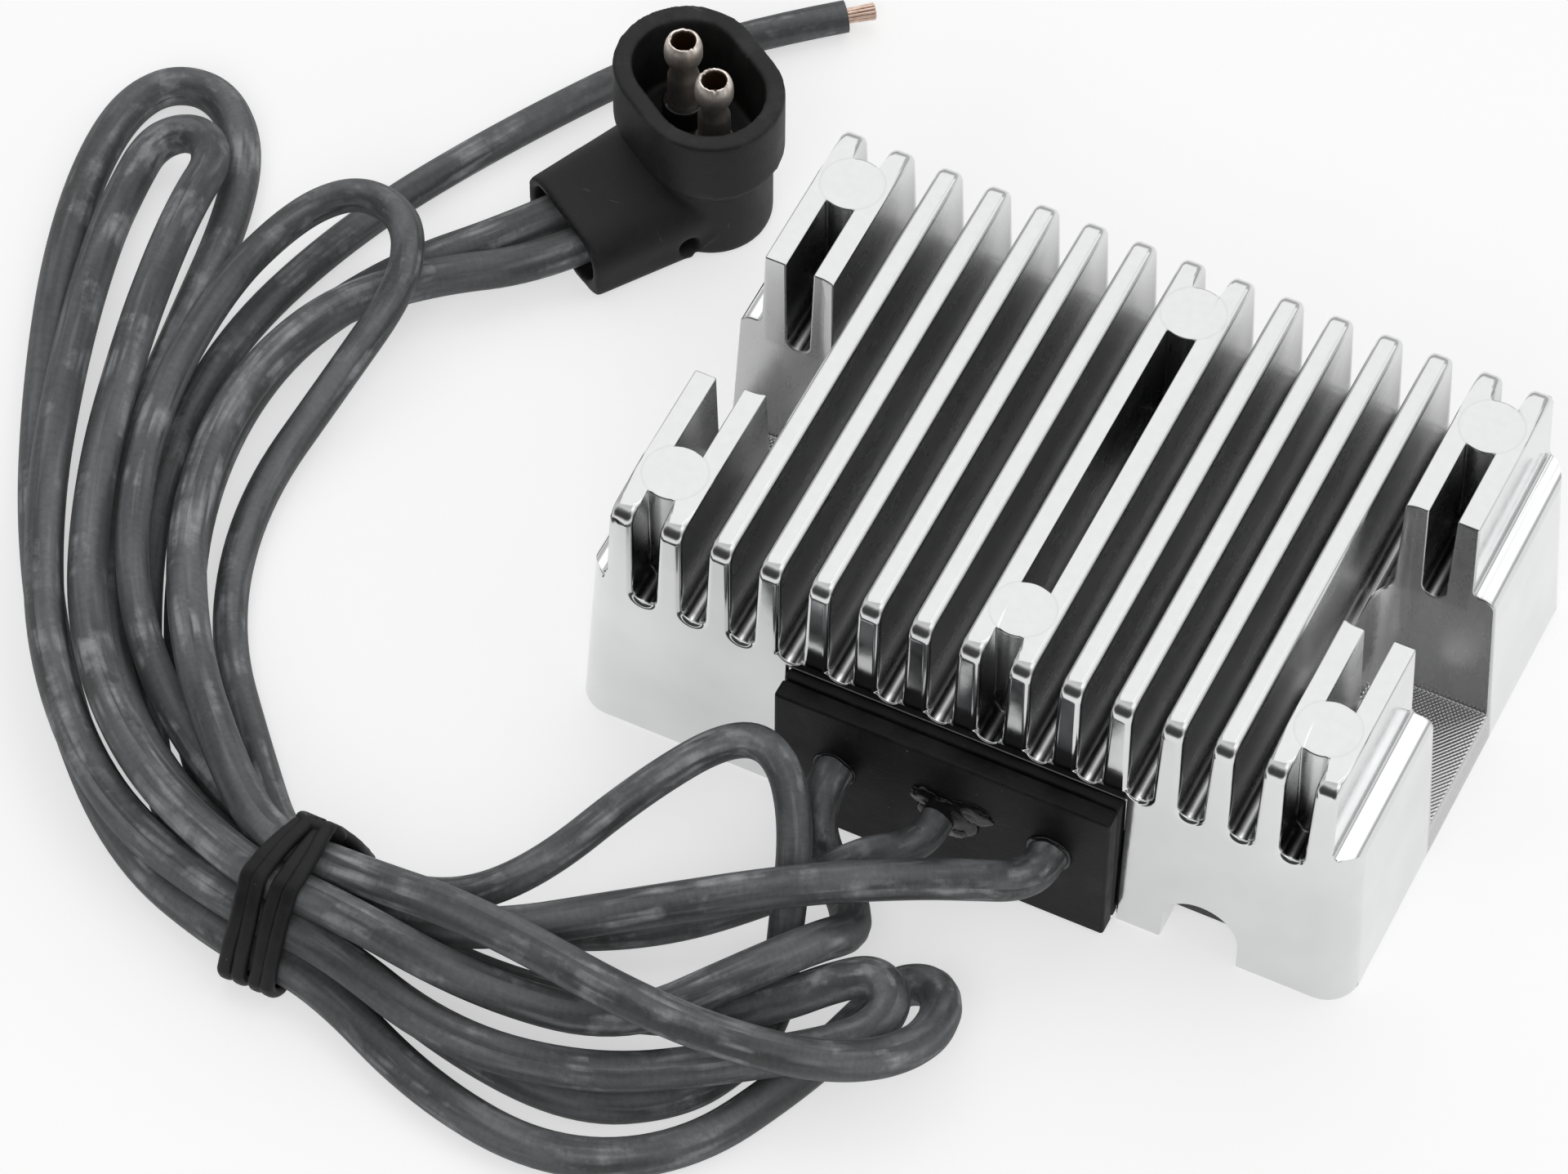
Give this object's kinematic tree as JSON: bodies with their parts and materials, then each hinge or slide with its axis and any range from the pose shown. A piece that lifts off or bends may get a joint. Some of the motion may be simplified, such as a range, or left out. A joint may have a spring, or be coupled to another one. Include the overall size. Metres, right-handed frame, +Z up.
{
  "type": "voltage regulator rectifier",
  "caption": "Chrome finned voltage regulator rectifier with three rubber cords, a two-pin plug and one bare cord end.",
  "frame": {"origin": "centre of the housing's base plane, midway between the two bolt holes", "axes": "+Z up, away from the mounting face; +X along the housing's long side; the wire plate faces -Y"},
  "size_m": [0.2283, 0.2057, 0.046],
  "materials": {
    "chrome_housing": "polished",
    "plate_rubber": "matte",
    "sealant": "gloss",
    "cord_rubber": "matte, scuffed",
    "plug_rubber": "satin",
    "band_rubber": "satin",
    "pin_metal": "bright",
    "insulator_black": "matte",
    "copper": "bright",
    "potting_resin": "satin",
    "board_laminate": "satin",
    "device_black": "matte",
    "insulating_sheet": "matte",
    "plated_steel": "bright",
    "resistor_body": "satin"
  },
  "bodies": {
    "root": {"heatsink_housing": "chrome_housing", "wire_grommet": "plate_rubber", "wire_plate": "plate_rubber", "sealant_bead": "sealant", "wire_left": "cord_rubber", "wire_centre": "cord_rubber", "wire_right": "cord_rubber", "bare_strands": "copper", "plug_body": "plug_rubber", "plug_pin_a": "pin_metal", "plug_pin_b": "pin_metal", "pin_insulator_a": "insulator_black", "pin_insulator_b": "insulator_black", "tie_band": "band_rubber", "potting_compound": "potting_resin", "circuit_board": "board_laminate", "scr_left": "device_black", "scr_right": "device_black", "diode_left": "device_black", "diode_right": "device_black", "thermal_pad": "insulating_sheet", "clamp_bar": "plated_steel", "clamp_screws": "plated_steel", "filter_capacitor": "device_black", "zener_diode": "device_black", "trigger_resistors": "resistor_body", "control_transistor": "device_black", "lead_left": "cord_rubber", "lead_centre": "cord_rubber", "lead_right": "cord_rubber", "lead_terminals": "plated_steel"}
  },
  "joints": []
}
